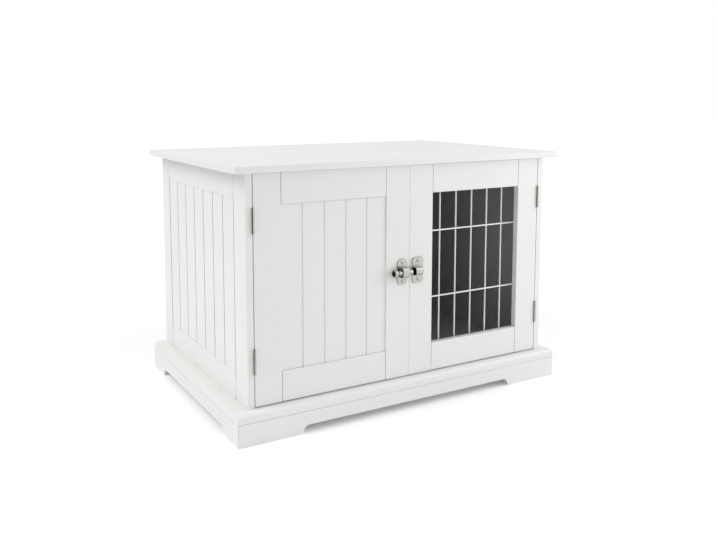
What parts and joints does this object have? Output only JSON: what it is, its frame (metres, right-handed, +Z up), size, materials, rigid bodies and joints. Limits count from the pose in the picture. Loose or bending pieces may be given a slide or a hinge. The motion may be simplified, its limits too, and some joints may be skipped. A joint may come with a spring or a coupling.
{
  "type": "dog house",
  "caption": "White dog house in the form of a side table, with bead-board sides, a panelled door and a wire-grille door that swing open, and a sliding barrel bolt.",
  "frame": {"origin": "on the floor under the middle of the overall box", "axes": "+X to the right along the front, +Y to the back, +Z up; the doors face -Y"},
  "size_m": [0.9, 0.6, 0.6],
  "materials": {
    "white_paint": "satin white paint",
    "zinc_steel": "bright zinc plate",
    "nickel_steel": "satin nickel plate",
    "white_wire": "white powder coat",
    "white_plastic": "moulded white"
  },
  "bodies": {
    "cabinet": {"top_board": "white_paint", "base_board": "white_paint", "left_front_stile": "white_paint", "left_back_stile": "white_paint", "left_top_rail": "white_paint", "left_bottom_rail": "white_paint", "left_bead_board": "white_paint", "right_front_stile": "white_paint", "right_back_stile": "white_paint", "right_top_rail": "white_paint", "right_bottom_rail": "white_paint", "right_bead_board": "white_paint", "back_panel": "white_paint", "back_top_rail": "white_paint", "back_bottom_rail": "white_paint", "front_top_rail": "white_paint", "door_stop_strip": "white_paint", "front_skirt": "white_paint", "back_skirt": "white_paint", "left_skirt": "white_paint", "right_skirt": "white_paint", "corner_blocks": "white_paint", "cam_locks": "zinc_steel", "cam_dowels": "zinc_steel", "top_brackets": "zinc_steel", "bracket_screws": "zinc_steel", "back_panel_screws": "zinc_steel", "base_screws": "zinc_steel", "frame_hinge_leaves": "nickel_steel", "hinge_pins": "nickel_steel", "frame_leaf_screws": "nickel_steel", "magnetic_catches": "white_plastic"},
    "left_door": {"left_door_hinge_stile": "white_paint", "left_door_lock_stile": "white_paint", "left_door_top_rail": "white_paint", "left_door_bottom_rail": "white_paint", "left_door_panel": "white_paint", "left_door_leaves": "nickel_steel", "left_door_leaf_screws": "nickel_steel", "left_strike": "zinc_steel", "bolt_plate": "nickel_steel", "bolt_plate_screws": "nickel_steel"},
    "bolt": {"latch_bolt": "nickel_steel", "latch_knob": "nickel_steel"},
    "right_door": {"right_door_hinge_stile": "white_paint", "right_door_lock_stile": "white_paint", "right_door_top_rail": "white_paint", "right_door_bottom_rail": "white_paint", "grille_uprights": "white_wire", "grille_cross_wires": "white_wire", "grille_clips": "zinc_steel", "clip_screws": "zinc_steel", "right_door_leaves": "nickel_steel", "right_door_leaf_screws": "nickel_steel", "right_strike": "zinc_steel", "keeper": "nickel_steel", "keeper_screws": "nickel_steel"}
  },
  "joints": [
    {"name": "left_door_hinge", "type": "hinge", "parent": "cabinet", "child": "left_door", "pos_m": [-0.40125, -0.2807, 0.32825], "axis": [0, 0, -1], "range_deg": [0, 165]},
    {"name": "right_door_hinge", "type": "hinge", "parent": "cabinet", "child": "right_door", "pos_m": [0.40125, -0.2807, 0.32825], "axis": [0, 0, 1], "range_deg": [0, 165]},
    {"name": "bolt_slide", "type": "slide", "parent": "left_door", "child": "bolt", "axis": [1, 0, 0], "range_m": [0, 0.012]}
  ]
}
